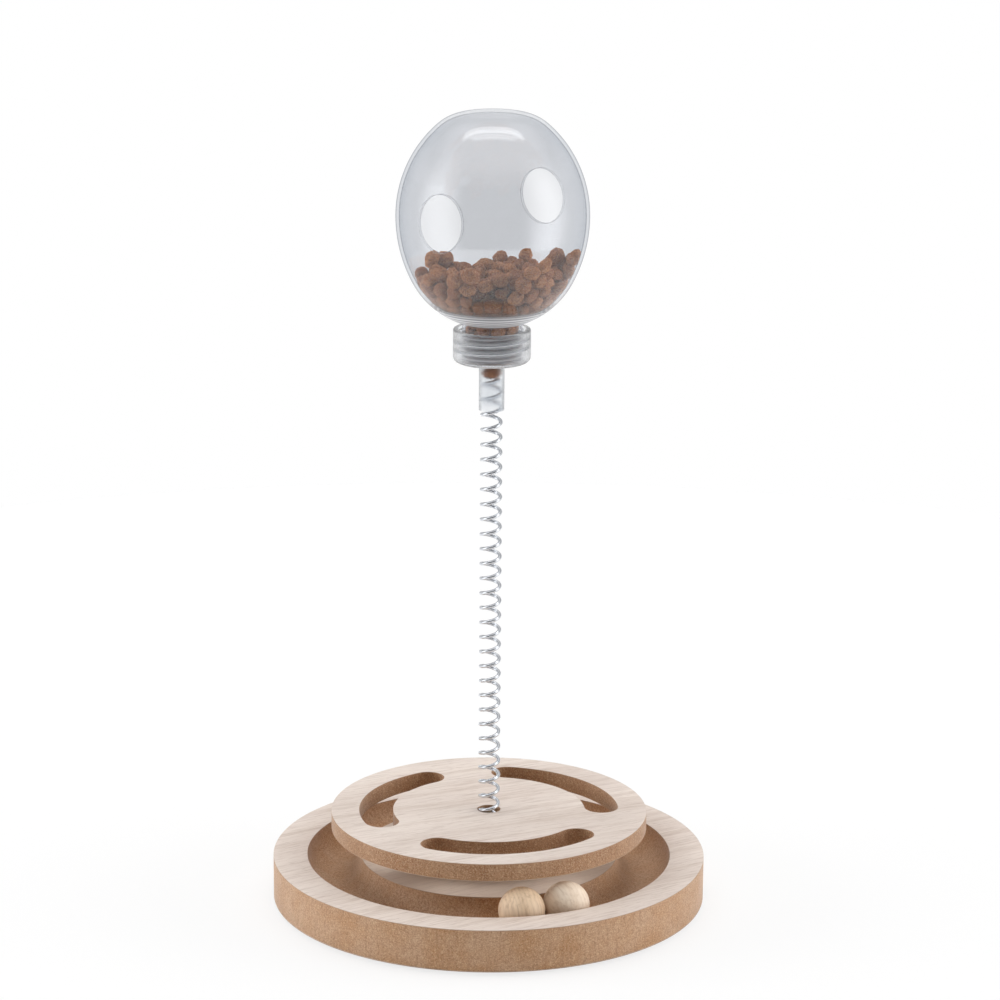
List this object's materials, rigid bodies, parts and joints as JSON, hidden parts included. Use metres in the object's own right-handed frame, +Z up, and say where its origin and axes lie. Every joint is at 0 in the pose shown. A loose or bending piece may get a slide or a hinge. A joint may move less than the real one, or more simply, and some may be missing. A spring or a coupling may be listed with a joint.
{
  "type": "cat treat toy",
  "caption": "Round wooden base with a ball track, a slotted tray above it, and a clear treat globe that sways on a long coil spring.",
  "frame": {"origin": "on the floor, at the middle of the round base, under its rubber feet", "axes": "+Z up along the spring, -Y towards the side from which the picture was taken, +X to that viewer's right"},
  "size_m": [0.24, 0.24, 0.4415],
  "materials": {
    "fibreboard": "bare sanded fibreboard edge",
    "veneer": "pale matt wood veneer with straight grain",
    "turned_wood": "bare turned wood",
    "ball_wood": "bare turned hardwood",
    "zinc_steel": "zinc plated",
    "spring_steel": "bright nickel plated wire",
    "clear_plastic": "clear moulded plastic",
    "kibble": "dry baked kibble",
    "grey_rubber": "soft anti-slip pad"
  },
  "bodies": {
    "base": {"foot_front_right": "grey_rubber", "foot_back_right": "grey_rubber", "foot_back_left": "grey_rubber", "foot_front_left": "grey_rubber", "base_board": "fibreboard", "rim_veneer": "veneer", "plateau_veneer": "veneer", "backing_veneer": "veneer", "hub": "turned_wood", "tray_board": "fibreboard", "tray_top_veneer": "veneer", "tray_under_veneer": "veneer", "hub_screws": "zinc_steel", "spring_peg": "turned_wood"},
    "ball_1": {"ball_1": "ball_wood"},
    "ball_2": {"ball_2": "ball_wood"},
    "spring": {"coil_spring": "spring_steel"},
    "head": {"screw_cap": "clear_plastic", "kibble_in_tube": "kibble"},
    "treats": {"kibble_heap": "kibble"},
    "globe": {"treat_globe": "clear_plastic"}
  },
  "joints": [
    {"name": "ball_1_roll", "type": "hinge", "parent": "base", "child": "ball_1", "pos_m": [0, 0, 0.0235], "axis": [0, 0, 1], "continuous": true},
    {"name": "ball_2_roll", "type": "hinge", "parent": "ball_1", "child": "ball_2", "pos_m": [0, 0, 0.0235], "axis": [0, 0, 1], "range_deg": [0, 325.6]},
    {"name": "spring_sway_side", "type": "hinge", "parent": "base", "child": "spring", "pos_m": [0, 0, 0.106], "axis": [0, 1, 0], "range_deg": [-30, 30], "stiffness_Nm_per_rad": 0.9, "deforming": ["coil_spring"]},
    {"name": "spring_sway_fore", "type": "hinge", "parent": "spring", "child": "head", "pos_m": [0, 0, 0.22], "axis": [1, 0, 0], "range_deg": [-30, 30], "stiffness_Nm_per_rad": 0.6, "deforming": ["coil_spring"]},
    {"name": "globe_lift", "type": "slide", "parent": "head", "child": "treats", "axis": [0, 0, 1], "range_m": [0, 0.00563]},
    {"name": "globe_unscrew", "type": "hinge", "parent": "treats", "child": "globe", "pos_m": [0, 0, 0.3264], "axis": [0, 0, 1], "range_deg": [0, 450]}
  ],
  "couplings": [
    {"joint": "globe_lift", "follows": "globe_unscrew", "m_per_rad": 0.0007162}
  ]
}
